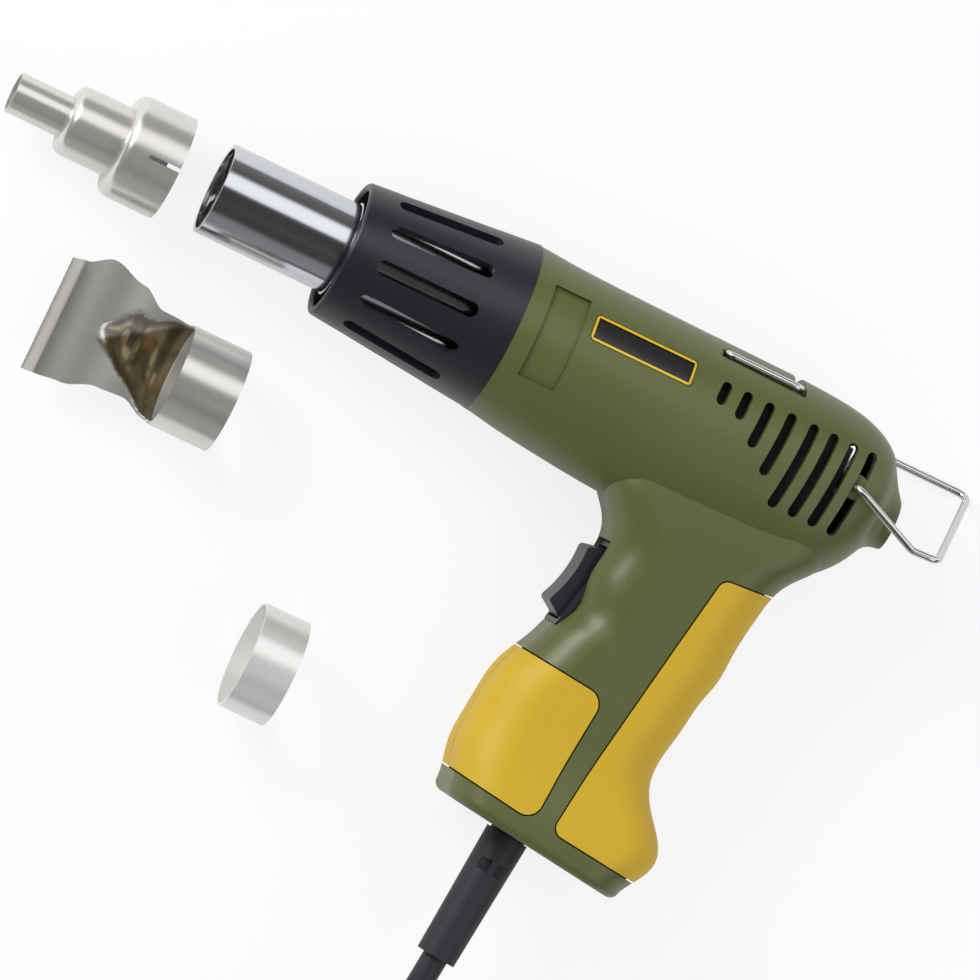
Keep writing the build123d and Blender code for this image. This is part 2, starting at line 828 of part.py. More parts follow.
def motor_can():
    """The motor's steel can with its front boss and the bore that the shaft turns in."""
    start = tube_length + ring_thickness + duct_length
    bore = shaft_radius + running_fit
    floor = start + motor_length - shaft_nose + body_gap
    profile = [
        (start - motor_boss_length, bore),
        (start - motor_boss_length, motor_boss_radius),
        (start, motor_boss_radius),
        (start, motor_radius),
        (start + motor_length, motor_radius),
        (start + motor_length, 0),
        (floor, 0),
        (floor, bore),
    ]
    return revolve_along_x(profile)


def motor_cap():
    """The motor's plastic end with its two tags."""
    start = tube_length + ring_thickness + duct_length + motor_length
    end = start + motor_cap_length
    radius = motor_radius - motor_rib_thickness / 2
    cap = revolve_along_x([(start, 0), (start, radius), (end, radius), (end, 0)])
    tag = Box(motor_tag_length, terminal_thickness, terminal_width, align=(Align.MIN, Align.CENTER, Align.CENTER))
    for side in (1, -1):
        cap = cap + Pos(end, side * motor_radius / 2, 0) * tag
    return cap


def switch_body():
    """The rocker's frame and body: a flange in the handle's seat, a well for the rocker, blades behind."""
    depth = switch_body_depth
    flange = Box(switch_length, switch_width, switch_flange, align=(Align.CENTER, Align.CENTER, Align.MAX))
    flange = fillet(flange.edges().filter_by(Axis.Z), switch_rim)
    body_length = switch_length - 2 * switch_flange
    body_width = switch_width - 2 * switch_flange
    body = Box(body_length, body_width, depth, align=(Align.CENTER, Align.CENTER, Align.MAX))
    well_radius = rocker_swing_radius + body_gap
    well_width = rocker_width + 2 * body_gap
    well_depth = rocker_foot_depth + rocker_pivot_depth + 2 * overrun
    well = Box(2 * well_radius, well_width, 2 * well_depth)
    bar = Cylinder(rocker_pin_radius, body_width, rotation=(90, 0, 0))
    frame = flange + body - well
    for side in (1, 0, -1):
        under = (Align.CENTER, Align.CENTER, Align.MAX)
        blade = Box(terminal_thickness, terminal_width, terminal_length, align=under)
        frame = frame + Pos(side * terminal_pitch, 0, -depth) * blade
    return switch_plane() * (frame + Pos(0, 0, -rocker_pivot_depth) * bar)


def rocker():
    """The dished rocker, seen from the side, with its ends struck from the pin that it turns on."""
    top = rocker_proud + rocker_pivot_depth
    face = make_face(
        [
            Line((-rocker_foot_half, -rocker_foot_depth), (rocker_foot_half, -rocker_foot_depth)),
            Line((rocker_foot_half, -rocker_foot_depth), (rocker_swing_radius, 0)),
            Line((rocker_swing_radius, 0), (rocker_half_face, top)),
            ThreePointArc((rocker_half_face, top), (0, top - rocker_dish), (-rocker_half_face, top)),
            Line((-rocker_half_face, top), (-rocker_swing_radius, 0)),
            Line((-rocker_swing_radius, 0), (-rocker_foot_half, -rocker_foot_depth)),
        ]
    )
    solid = extrude(Rot(90, 0, 0) * face, rocker_width / 2, both=True)
    corners = solid.edges().filter_by(Axis.Y).sort_by(Axis.Z)[-2:]
    solid = fillet(corners, rocker_dish)
    bore = Cylinder(rocker_pin_radius + running_fit, 2 * rocker_width, rotation=(90, 0, 0))
    return switch_plane() * Pos(0, 0, -rocker_pivot_depth) * (solid - bore)


def rectifier_board():
    return board_plane() * Box(board_length, board_height, board_thickness)


def board_parts():
    """Four diodes and a capacitor on the front of the board."""
    parts = []
    face = board_thickness / 2
    for index in range(diode_count):
        place = Pos(board_length / 2 - diode_pitch * (index + 0.5), -board_height / 4, face + diode_radius)
        parts.append(place * Cylinder(diode_radius, diode_length, rotation=(90, 0, 0)))
    place = Pos(0, board_height / 4, face + capacitor_radius)
    parts.append(place * Cylinder(capacitor_radius, capacitor_length, rotation=(0, 90, 0)))
    return [board_plane() * part for part in parts]


def cord_boot():
    """The lead's soft boot: a collar and neck held in the base, and a tapering sleeve outside."""
    neck = boot_radius - boot_groove
    collar_face = -shell_wall - 2 * seat_gap
    outline = Polyline(
        (0, collar_face - boot_collar_length),
        (boot_radius, collar_face - boot_collar_length),
        (boot_radius, collar_face),
        (neck, collar_face),
        (neck, 2 * seat_gap),
        (boot_radius, 2 * seat_gap),
        (boot_tip_radius, boot_length),
        (0, boot_length),
        close=True,
    )
    body = revolve(Rot(90, 0, 0) * make_face(outline), axis=Axis.Z)
    for side in (1, -1):
        for across in (1, -1):
            cut = Box(boot_cut_width, boot_cut_depth * 2, boot_cut_width)
            place = Pos(across * boot_cut_width * boot_cut_share, side * boot_radius, boot_cut_way)
            body = body - place * cut
    return boot_plane() * body


def lead_end():
    """The end of the lead inside the handle, from the boot's collar past the clamp."""
    start = -shell_wall - 2 * seat_gap - boot_collar_length
    under = (Align.CENTER, Align.CENTER, Align.MAX)
    stub = Cylinder(cord_radius, lead_stub_length, align=under)
    return boot_plane() * Pos(0, 0, start) * stub


def cord_clamp():
    width = 2 * (clamp_screw_spread + screw_radius + clamp_thickness / 2)
    bar = Box(width, clamp_thickness, clamp_height, align=(Align.CENTER, Align.MIN, Align.CENTER))
    for side in (1, -1):
        hole = Cylinder(screw_radius + seat_gap, 4 * clamp_thickness, rotation=(90, 0, 0))
        bar = bar - Pos(side * clamp_screw_spread, 0, 0) * hole
    return boot_plane() * Pos(0, cord_radius, -clamp_rise) * bar


def round_head_screw(length):
    """A pan-headed screw, its head on top and its shank pointing down Z."""
    shank = Cylinder(screw_radius, length, align=(Align.CENTER, Align.CENTER, Align.MAX))
    head = Cylinder(screw_head_radius, screw_head_height, align=(Align.CENTER, Align.CENTER, Align.MIN))
    head = fillet(head.edges().group_by(Axis.Z)[-1], screw_head_height / 3)
    return shank + head


def clamp_screws():
    screws = []
    for side in (1, -1):
        place = Pos(side * clamp_screw_spread, cord_radius + clamp_thickness, -clamp_rise)
        screws.append(boot_plane() * place * Rot(-90, 0, 0) * round_head_screw(screw_length / 2))
    return screws


def housing_screws():
    screws = []
    for x, y in screw_places():
        screw = Rot(180, 0, 0) * round_head_screw(screw_seat + screw_bite)
        screws.append(Pos(x, y, -screw_seat) * screw)
    return screws


def name_plate():
    """The bare plate, with a low border round it."""
    face = RectangleRounded(plate_length, plate_height, plate_corner)
    inside = RectangleRounded(plate_length - 2 * plate_border, plate_height - 2 * plate_border, plate_corner / 2)
    place = Pos(plate_x + plate_length / 2, plate_foot + plate_height / 2, 0)
    slab = place * extrude(face, barrel_half_width)
    well = place * extrude(inside, barrel_half_width)
    plate = slab & (barrel_form(-plate_border_height) - barrel_form(plate_thickness - press_gap))
    return plate - (well - barrel_form())


def stepped_tube(steps, shoulder, wall):
    """A thin turned tube: each step has a length and a radius, and its shoulders are rounded."""
    outline = []
    x = 0
    for length, radius in steps:
        outline += [(x, radius), (x + length, radius)]
        x += length
    total = x
    solid = revolve_along_x([(0, 0)] + outline + [(total, 0)])
    x = 0
    for length, radius in steps[:-1]:
        x += length
        rims = [edge for edge in solid.edges().filter_by(GeomType.CIRCLE) if abs(edge.center().X - x) < wall / 4]
        rims = [edge for edge in rims if edge.radius > radius + wall / 4]
        solid = fillet(rims, shoulder)
    return solid


def reducer_nozzle():
    """The round reducer: a socket, a rounded shoulder, a waist and a narrow tip."""
    steps = [
        (reducer_tip_length, reducer_tip_radius),
        (reducer_middle_length, reducer_middle_radius),
        (reducer_socket_length, nozzle_socket_radius),
    ]
    inside = []
    for index, (length, radius) in enumerate(steps):
        grow = nozzle_wall if index < len(steps) - 1 else 0
        trim = nozzle_wall if index > 0 else 0
        inside.append((length + grow - trim, radius - nozzle_wall))
    outer = stepped_tube(steps, reducer_shoulder, nozzle_wall)
    inner = stepped_tube(inside, reducer_shoulder - nozzle_wall, nozzle_wall)
    total = sum(length for length, radius in steps)
    slit = Box(reducer_slit_length, reducer_slit_width, 2 * nozzle_socket_radius, align=(Align.MAX, Align.CENTER, Align.MIN))
    body = outer - inner - Pos(total, 0, 0) * slit
    return Pos(reducer_x, reducer_y, floor_z + nozzle_socket_radius) * body


def trough_section(x, half_width, depth):
    rim = Line((x, -half_width, 0), (x, half_width, 0))
    belly = ThreePointArc((x, half_width, 0), (x, 0, -depth), (x, -half_width, 0))
    return make_face([rim, belly])


def reflector_nozzle():
    """The spoon-shaped reflector: a socket, and an open trough that flattens to a turned-up end."""
    radius = nozzle_socket_radius
    socket_start = -scoop_socket_length
    bore = radius - nozzle_wall
    socket = revolve_along_x([(socket_start, bore), (socket_start, radius), (0, radius), (0, bore)])
    outer = []
    inner = []
    for way, width_share, depth_share in scoop_shares:
        x = -scoop_socket_length - scoop_trough_length * way
        inner_x = -scoop_socket_length - (scoop_trough_length - nozzle_wall) * way
        outer.append(trough_section(x, radius * width_share, radius * depth_share))
        inner.append(trough_section(inner_x, radius * width_share - nozzle_wall, radius * depth_share - nozzle_wall))
    trough = loft(outer) - loft(inner)
    return Pos(scoop_x, scoop_y, floor_z + radius) * (socket + trough)


def flat_section(x, half_width, half_height):
    return Plane(origin=(x, 0, 0), x_dir=(0, 1, 0), z_dir=(1, 0, 0)) * Ellipse(half_width, half_height)


def wide_form(inset):
    """The body of the wide nozzle: round at its socket, flat at its mouth. Drawn in, it runs past both ends."""
    sections = []
    extra = overrun if inset > 0 else 0
    last = len(wide_shares) - 1
    for index, (way, width_share, height_share) in enumerate(wide_shares):
        half_width = slot_widest_half_width * width_share - inset
        half_height = slot_socket_radius * height_share - inset
        x = slot_nozzle_length * way
        if index == 0 and extra:
            sections.append(flat_section(-extra, half_width, half_height))
        sections.append(flat_section(x, half_width, half_height))
        if index == last and extra:
            sections.append(flat_section(x + extra, half_width, half_height))
    return loft(sections, ruled=True)


def wide_nozzle():
    """The wide nozzle, pressed from two halves: folded seams along both sides, a thin slot at the front."""
    body = wide_form(0)
    seam_points = []
    for way, width_share in wide_seam_shares:
        seam_points.append((slot_nozzle_length * way, slot_widest_half_width * width_share))
    outline = seam_points + [(x, -y) for x, y in reversed(seam_points)]
    seam = extrude(make_face(Polyline(*outline, close=True)), slot_seam_thickness / 2, both=True)
    shell_form = body + seam - wide_form(nozzle_wall)
    # The round socket is a true cylinder, inside and out, and a little wider than the body's end
    socket_x = slot_nozzle_length - wide_socket_length
    inner = slot_socket_radius - nozzle_wall
    end = slot_nozzle_length
    ring = [(socket_x, inner), (socket_x, slot_socket_radius), (end, slot_socket_radius), (end, inner)]
    shell_form = shell_form + revolve_along_x(ring)
    return Pos(slot_nozzle_x, slot_nozzle_y, floor_z + slot_socket_radius) * shell_form


def coil_place(turn):
    """A point of the put-away coil after a number of turns: radius and height from its spiral."""
    layer_turns = coil_turns / coil_layers
    layer = min(int(turn / layer_turns), coil_layers - 1)
    within = turn - layer * layer_turns
    inward = within if layer % 2 == 0 else layer_turns - within
    radius = coil_radius - coil_pitch * inward
    height = layer * coil_pitch
    nearest = round(turn / layer_turns)
    if 0 < nearest < coil_layers:
        offset_turns = turn - nearest * layer_turns
        if abs(offset_turns) < 0.25:
            height = coil_pitch * (nearest - 0.5 + offset_turns / 0.5)
    return radius, height


def coil_point(turn):
    radius, height = coil_place(turn)
    angle = -2 * pi * turn
    x = coil_x + radius * cos(angle)
    y = coil_y + radius * sin(angle)
    return Vector(x, y, coil_z + height)


def coil_way(turn):
    step = 1 / 512
    early = max(turn - step, 0)
    late = min(turn + step, coil_turns)
    return (coil_point(late) - coil_point(early)).normalized()


def coil_edges():
    """The coil's centre line: a straight lead-in, quarter-turn biarcs, and a straight lead-out."""
    quarters = int(coil_turns * 4)
    points = [coil_point(index / 4) for index in range(quarters + 1)]
    ways = [coil_way(index / 4) for index in range(quarters + 1)]
    ways[0] = Vector(0, -1, 0)
    ways[-1] = Vector(0, -1, 0)
    lead_in = Line(points[0] - ways[0] * cord_radius * 2, points[0])
    lead_out = Line(points[-1], points[-1] + ways[-1] * cord_radius * 2)
    return [lead_in] + arcs_through(points, ways) + [lead_out]


def least_coil_gap():
    """The least gap between the coil's surface and itself, measured on points at least half a turn apart."""
    count = int(coil_turns * 48)
    points = [coil_point(coil_turns * index / count) for index in range(count + 1)]
    least = coil_radius
    for first in range(count):
        for second in range(first + 24, count + 1):
            least = min(least, (points[first] - points[second]).length - 2 * cord_radius)
    return least


def corner_radii(points):
    """As large an arc at each corner as its two runs allow."""
    radii = []
    for before, corner, after in zip(points, points[1:], points[2:]):
        first = Vector(corner) - Vector(before)
        second = Vector(after) - Vector(corner)
        half_turn = radians(first.get_angle(second)) / 2
        radii.append(0.45 * min(first.length, second.length) / tan(half_turn))
    return radii


def cord_tube(points):
    radii = corner_radii(points)
    path = FilletPolyline(*points, radius=radii)
    frame = Plane(origin=path @ 0, z_dir=path % 0)
    tube = sweep(frame * Circle(cord_radius), path=path)
    drift = tube.volume / (pi * cord_radius**2 * path.length) - 1
    found = [round(radius) for radius in radii]
    print("cord radii", found, "length", round(path.length), "volume drift", round(drift, 4))
    return tube


def plug_plane():
    start = Vector(tail_points[-1])
    way = (start - Vector(tail_points[-2])).normalized()
    return Plane(origin=start, x_dir=Vector(0, 0, 1).cross(way), z_dir=way)


def plug_body():
    sections = []
    for way, width_share, height_share in plug_shares:
        corner = plug_height * height_share * plug_corner_share
        face = RectangleRounded(plug_width * width_share, plug_height * height_share, corner)
        sections.append(plug_plane() * Pos(0, 0, plug_length * way) * face)
    return loft(sections)


def plug_pins():
    pins = []
    for side in (1, -1):
        pin = Cylinder(plug_pin_radius, plug_pin_length, align=(Align.CENTER, Align.CENTER, Align.MIN))
        pin = fillet(pin.edges().group_by(Axis.Z)[-1], plug_pin_radius / 2)
        pins.append(plug_plane() * Pos(side * plug_pin_spread, 0, plug_length) * pin)
    return pins


def write_node(name, shape):
    solids = shape if isinstance(shape, list) else [shape]
    pieces = [solid for entry in solids for solid in entry.solids()]
    node = pieces[0] if len(pieces) == 1 else Compound(children=pieces)
    export_step(node, os.path.join("parts", name + ".step"))


outer_handle = split(handle_form(), bisect_by=base_plane(), keep=Keep.BOTTOM)
pad_floor = handle_form(pad_depth)


def build_all():
    os.makedirs("parts", exist_ok=True)
    outer = outer_form()
    hollow = hollow_form()
    housing = housing_form(outer, hollow)
    front_prism, rear_prism = pad_prisms()
    nodes = {
        "housing_left": shell(1, outer, hollow, housing),
        "housing_right": shell(-1, outer, hollow, housing),
        "housing_screws": housing_screws(),
        "front_grip_left": grip_pad(front_prism, 1),
        "front_grip_right": grip_pad(front_prism, -1),
        "rear_grip_left": grip_pad(rear_prism, 1),
        "rear_grip_right": grip_pad(rear_prism, -1),
        "name_plate": name_plate(),
        "heat_guard": heat_guard(),
        "heat_tube": heat_tube(),
        "mica_sleeve": mica_sleeve(),
        "mica_cross": mica_cross(),
        "heater_winding": heater_winding(),
        "thermal_cutout": thermal_cutout(),
        "insulating_ring": insulating_ring(),
        "fan_duct": fan_duct(),
        "fan_rotor": fan_rotor(),
        "motor_shaft": motor_shaft(),
        "motor_can": motor_can(),
        "motor_cap": motor_cap(),
        "switch_body": switch_body(),
        "rocker": rocker(),
        "rectifier_board": rectifier_board(),
        "board_parts": board_parts(),
        "rear_wire_stand": round_wire(stand_points(), stand_bend_radius, wire_radius),
        "top_wire_clip": round_wire(clip_points(), clip_bend_radius, wire_radius),
        "cord_boot": cord_boot(),
        "lead_end": lead_end(),
        "cord_clamp": cord_clamp(),
        "clamp_screws": clamp_screws(),
        "mains_lead": cord_tube(lead_points),
        "lead_coil": sweep_wire(coil_edges(), cord_radius),
        "lead_tail": cord_tube(tail_points),
        "mains_plug": plug_body(),
        "plug_pins": plug_pins(),
        "reducer_nozzle": reducer_nozzle(),
        "reflector_nozzle": reflector_nozzle(),
        "wide_nozzle": wide_nozzle(),
    }
    for name, shape in nodes.items():
        write_node(name, shape)
    print("least gap in the coil", round(least_coil_gap(), 2))


build_all()
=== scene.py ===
# %% [markdown]
# # A heat tool and its nozzles, dressed for the camera
# The shapes come from CAD. This lesson adds the flexible lead, the finishes, the small
# moulded marks and the studio. The imported CAD model is loaded first, and its size is kept
# to set the floor's height.

# %% Load the imported frame
import json
from math import cos, pi, radians, sin, tau

import bpy
from mathutils import Matrix, Vector


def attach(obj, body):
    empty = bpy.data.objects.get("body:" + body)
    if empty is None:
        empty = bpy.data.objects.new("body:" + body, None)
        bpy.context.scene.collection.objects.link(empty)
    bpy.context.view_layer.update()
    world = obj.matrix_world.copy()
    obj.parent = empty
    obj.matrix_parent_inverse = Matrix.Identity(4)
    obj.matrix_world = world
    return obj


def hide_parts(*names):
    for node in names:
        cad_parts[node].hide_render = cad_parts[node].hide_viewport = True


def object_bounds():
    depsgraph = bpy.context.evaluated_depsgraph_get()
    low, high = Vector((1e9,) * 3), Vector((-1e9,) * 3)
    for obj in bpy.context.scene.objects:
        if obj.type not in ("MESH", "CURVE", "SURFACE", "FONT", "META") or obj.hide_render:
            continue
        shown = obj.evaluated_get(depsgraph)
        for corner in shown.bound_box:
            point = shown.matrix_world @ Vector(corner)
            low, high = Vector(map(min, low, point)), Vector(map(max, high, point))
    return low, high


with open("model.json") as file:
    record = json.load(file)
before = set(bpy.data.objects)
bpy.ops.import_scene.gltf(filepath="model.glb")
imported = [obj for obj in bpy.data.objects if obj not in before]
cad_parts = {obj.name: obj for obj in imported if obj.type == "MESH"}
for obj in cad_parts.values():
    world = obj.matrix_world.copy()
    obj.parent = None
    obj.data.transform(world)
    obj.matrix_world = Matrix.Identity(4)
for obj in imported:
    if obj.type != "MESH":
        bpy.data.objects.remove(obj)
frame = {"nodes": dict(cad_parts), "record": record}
cad_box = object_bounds()
nodes = frame["nodes"]
mm = 0.001
print("nodes", len(nodes), "size in mm", [round(side / mm) for side in cad_box[1] - cad_box[0]])

# %% [markdown]
# ## The camera
# The photograph looks squarely at the tool's left side, swung about ten degrees towards
# the nozzle end, and the picture is rolled until the barrel climbs from right to left.
# A very long lens copies the flat, parallel look of a catalogue picture. The camera's
# three axes are worked out directly, which is safer here than three chained rotations.

# %% Aim the camera
camera_swing = radians(10)
camera_roll = radians(25.5)
camera_distance = 2.4
picture_width = 234.2 * mm
picture_centre = Vector((91.1, -36.6, 0)) * mm
barrel_way = Vector((cos(camera_swing), 0, sin(camera_swing)))
to_camera = Vector((-sin(camera_swing), 0, cos(camera_swing)))
image_right = barrel_way * cos(camera_roll) + Vector((0, 1, 0)) * sin(camera_roll)
image_up = to_camera.cross(image_right)

camera_data = bpy.data.cameras.new("catalogue_lens")
camera_data.sensor_width = 36
camera_data.lens = camera_data.sensor_width * camera_distance / picture_width
camera_data.clip_end = 20
camera = bpy.data.objects.new("catalogue_camera", camera_data)
bpy.context.scene.collection.objects.link(camera)
camera_axes = Matrix((image_right, image_up, to_camera)).transposed()
camera.matrix_world = Matrix.Translation(picture_centre + to_camera * camera_distance) @ camera_axes.to_4x4()
bpy.context.scene.camera = camera
print("lens in mm", round(camera_data.lens, 1))

# %% [markdown]
# ## The mains lead
# A real lead is a fixed length of rubber-covered cable. It leaves the boot straight, sinks
# to the table, and the length that the picture doesn't show lies in a neat coil. One smooth
# curve with a round bevel is the simplest true model: its own line is the cable's middle.
# The points are those of the CAD route, so that both models share one place.

# %% Lay the lead along its route
lead_radius = 3.25
lead_points = [
    (128.0, -143.2, 0),
    (125.3, -174.0, -1.2),
    (123.2, -205.0, -14.6),
    (122.0, -236.0, -18.5),
    (122.0, -257.5, -18.75),
]
tail_points = [
    (122.0, -270.5, 2.55),
    (121.5, -293.5, 0),
    (105.0, -312.5, -12.0),
    (78.0, -317.5, -15.3),
    (58.0, -317.5, -15.3),
]
coil_centre = (84.0, -264.0, -18.75)
coil_radius = 38.0
coil_turns = 7
coil_layers = 4
coil_pitch = 7.1
points_per_turn = 16
layer_change_turns = 0.5
# The curve runs a little inside its points, so they stand a little further out
outward = cos(pi / points_per_turn / 1.4)


def coil_point(turn):
    """A point of the coil after a number of turns; each layer winds back over the last."""
    layer_turns = coil_turns / coil_layers
    layer = min(int(turn / layer_turns), coil_layers - 1)
    within = turn - layer * layer_turns
    inward = within if layer % 2 == 0 else layer_turns - within
    radius = (coil_radius - coil_pitch * inward) / outward
    height = layer * coil_pitch
    nearest = round(turn / layer_turns)
    away = turn - nearest * layer_turns
    if 0 < nearest < coil_layers and abs(away) < layer_change_turns / 2:
        height = coil_pitch * (nearest - 0.5 + away / layer_change_turns)
    angle = -tau * turn
    x, y, z = coil_centre
    return (x + radius * cos(angle), y + radius * sin(angle), z + height)


coil_points = [coil_point(step / points_per_turn) for step in range(coil_turns * points_per_turn + 1)]
route = [Vector(point) * mm for point in lead_points + coil_points + tail_points]
lead_curve = bpy.data.curves.new("power_lead", "CURVE")
lead_curve.dimensions = "3D"
lead_curve.bevel_depth = lead_radius * mm
lead_curve.bevel_resolution = 5
lead_curve.resolution_u = 6
lead_curve.use_fill_caps = True
spline = lead_curve.splines.new("NURBS")
spline.points.add(len(route) - 1)
for control, place in zip(spline.points, route):
    control.co = (*place, 1)
spline.order_u = 3
spline.use_endpoint_u = True
power_lead = bpy.data.objects.new("power_lead", lead_curve)
bpy.context.scene.collection.objects.link(power_lead)

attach(power_lead, "tool")
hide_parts("mains_lead", "lead_coil", "lead_tail")
print("points on the lead", len(route))

# %% [markdown]
# ## Writing finishes as sums
# A finish changes over a surface: a little colour drift, a little roughness, fine grain.
# Each change is arithmetic on patterns. A small class wraps a value of the node tree, so
# that an ordinary Python sum adds the Math nodes, and one method adds any other node.


# %% A value of a node tree
class Value:
    def __init__(self, finish, socket):
        self.finish = finish
        self.socket = socket

    def math(self, operation, *others):
        values = dict(enumerate([self, *others]))
        return self.finish.node("ShaderNodeMath", {"operation": operation}, values)

    def __add__(self, other):
        return self.math("ADD", other)

    def __sub__(self, other):
        return self.math("SUBTRACT", other)

    def __rsub__(self, other):
        return self.math("MULTIPLY", -1).math("ADD", other)

    def __mul__(self, other):
        return self.math("MULTIPLY", other)

    def __gt__(self, other):
        return self.math("GREATER_THAN", other)

    def __lt__(self, other):
        return self.math("LESS_THAN", other)

    __radd__ = __add__
    __rmul__ = __mul__


# %% A finish and its nodes
class Finish:
    """A material with one Principled shader, and a method for every other node."""

    def __init__(self, name, metallic=0.0, coat=0.0):
        self.material = bpy.data.materials.new(name)
        self.material.use_nodes = True
        self.tree = self.material.node_tree
        self.shader = self.tree.nodes["Principled BSDF"]
        self.shader.inputs["Metallic"].default_value = metallic
        self.shader.inputs["Coat Weight"].default_value = coat
        self.place = self.node("ShaderNodeTexCoord", {}, {}, "Object")

    def node(self, kind, settings, sockets, output=0):
        made = self.tree.nodes.new(kind)
        for key, setting in settings.items():
            if key == "stops":
                stops = made.color_ramp.elements
                for position, level in setting[1:-1]:
                    stops.new(position)
                for stop, (position, level) in zip(stops, setting):
                    stop.position, stop.color = position, (level, level, level, 1)
            else:
                setattr(made, key, setting)
        for key, value in sockets.items():
            if isinstance(value, Value):
                self.tree.links.new(value.socket, made.inputs[key])
            else:
                made.inputs[key].default_value = value
        return Value(self, made.outputs[output])

    def noise(self, scale, detail=2.0, stretch=(1, 1, 1)):
        """Noise from 0 to 1, fixed to the object; scale is features in a metre."""
        stretched = self.node("ShaderNodeVectorMath", {"operation": "MULTIPLY"}, {0: self.place, 1: stretch})
        return self.node("ShaderNodeTexNoise", {}, {"Vector": stretched, "Scale": scale, "Detail": detail})

    def axis(self, name):
        """One coordinate of the surface in millimetres."""
        return self.node("ShaderNodeSeparateXYZ", {}, {0: self.place}, name) * (1 / mm)

    def blend(self, mask, first, second):
        """The first colour where the mask is 0 and the second where it is 1."""
        colours = {"Factor": mask, 6: first, 7: second}
        return self.node("ShaderNodeMix", {"data_type": "RGBA"}, colours, 2)

    def set(self, socket, value):
        if isinstance(value, Value):
            self.tree.links.new(value.socket, self.shader.inputs[socket])
        else:
            self.shader.inputs[socket].default_value = value

    def relief(self, height, depth):
        """Bumps of that depth in metres where the height runs from 0 to 1."""
        bump = self.node("ShaderNodeBump", {}, {"Height": height, "Distance": depth, "Strength": 1.0}, "Normal")
        self.set("Normal", bump)


def shade(red, green, blue):
    """A colour as a screen shows it, 0 to 255, made linear for the shader."""
    linear = []
    for part in (red, green, blue):
        share = part / 255
        linear.append(((share + 0.055) / 1.055) ** 2.4 if part > 10 else share / 12.92)
    return (*linear, 1)


def grained(name, dark, light, roughness, grain_scale, grain_depth, drift_scale=25):
    """A finish whose colour drifts slowly and whose skin has a fine grain."""
    finish = Finish(name)
    drift = finish.noise(drift_scale, 3)
    grain = finish.noise(grain_scale, 2)
    finish.set("Base Color", finish.blend(drift, dark, light))
    finish.set("Roughness", roughness + (grain - 0.5) * 0.12 + (drift - 0.5) * 0.08)
    finish.relief(grain, grain_depth)
    return finish


# %% [markdown]
# ## Moulded plastics and rubbers
# The housing is glass-filled nylon with a satin skin: dull green, spark-eroded grain, and
# soft wide highlights. The pads are a softer yellow rubber with a coarser, drier grain. The
# guard stands in the heat, so it is a harder black plastic with a slight blue cast.

# %% Plastic and rubber finishes
green_shell = grained("green_shell", shade(82, 91, 45), shade(90, 98, 51), 0.38, 2600, 0.00003)
yellow_grip = grained("yellow_grip", shade(200, 163, 20), shade(210, 173, 26), 0.55, 1700, 0.00005)
black_plastic = grained("black_plastic", shade(24, 26, 32), shade(31, 33, 40), 0.36, 2600, 0.00003)
black_rubber = grained("black_rubber", shade(30, 31, 37), shade(38, 39, 46), 0.55, 1900, 0.00004)
# A dark finish for the painted shade behind the vents
vent_shade_black = grained("vent_shade_black", shade(30, 30, 32), shade(38, 38, 40), 0.5, 2600, 0.00003)
print("plastics", [finish.material.name for finish in (green_shell, yellow_grip, black_plastic)])

# %% [markdown]
# ## Bright metals
# The tube, the nozzles and the wires are nickel-chrome plated steel. Rolled sheet is never
# quite flat, so a slow, shallow waviness bends the reflections, and faint brushing along
# the piece dulls them. The reflector's trough has painted shade, a dark straw-brown, in its hollow.


# %% Metal finishes
wave_scale, brush_scale = 60, 220
long_brush, even_brush = (6, 60, 60), (30, 30, 30)
nozzle_dark, nozzle_light = shade(206, 204, 200), shade(226, 224, 220)


def plated(name, dark, light, roughness, wave_depth, brush=long_brush, metallic=1.0):
    """Plated sheet: slow waves in the surface and faint brushing."""
    finish = Finish(name, metallic=metallic)
    wave = finish.noise(wave_scale, 1)
    brushing = finish.noise(brush_scale, 4, brush)
    finish.set("Base Color", finish.blend(brushing, dark, light))
    finish.set("Roughness", roughness + brushing * 0.10)
    finish.relief(wave + brushing * 0.02, wave_depth)
    return finish


bright_tube = plated("bright_tube", shade(196, 199, 204), shade(214, 216, 220), 0.10, 0.00012)
bright_nozzle = plated("bright_nozzle", nozzle_dark, nozzle_light, 0.20, 0.00022, metallic=0.72)
wide_steel = plated("wide_steel", shade(224, 223, 221), shade(240, 239, 237), 0.24, 0.00018, metallic=0.45)
bright_wire = plated("bright_wire", shade(200, 200, 200), shade(220, 220, 220), 0.14, 0.00003)
screw_steel = plated("screw_steel", shade(150, 150, 154), shade(176, 176, 180), 0.30, 0.00002, even_brush)
winding_wire = plated("winding_wire", shade(120, 112, 104), shade(150, 140, 128), 0.35, 0.00002, even_brush)

# %% The reflector, with painted shade in its trough
trough_axis_y = -44.5
trough_edge_z, trough_end_x = -9.3, 12.0
leaf_reach, leaf_slope, leaf_edge = 8.9, 0.66, (-0.6, 1.4)
reflector_steel = plated("reflector_steel", nozzle_dark, nozzle_light, 0.20, 0.00030, metallic=0.75)
along = reflector_steel.axis("X")
across = (reflector_steel.axis("Y") - trough_axis_y).math("ABSOLUTE")
leaf_way = (along + leaf_reach) * leaf_slope - across
leaf = reflector_steel.node(
    "ShaderNodeMapRange", {"interpolation_type": "SMOOTHSTEP"}, {0: leaf_way, 1: leaf_edge[0], 2: leaf_edge[1]}
)
# The mask is the trough's hollow, below its edge and along its length: painted shade
inside_height = reflector_steel.axis("Z") < trough_edge_z
inside_length = along < trough_end_x
cloud = reflector_steel.noise(140, 3, (3, 1, 1))
trough_shade_mask = leaf * inside_height * inside_length
# Painted shade in the trough: a dark straw-brown that drifts with the cloud noise
trough_shade_colour = reflector_steel.blend(cloud, shade(96, 84, 58), shade(150, 136, 104))
reflector_brushing = reflector_steel.noise(brush_scale, 4, long_brush)
steel_colour = reflector_steel.blend(reflector_brushing, nozzle_dark, nozzle_light)
reflector_steel.set("Base Color", reflector_steel.blend(trough_shade_mask, steel_colour, trough_shade_colour))

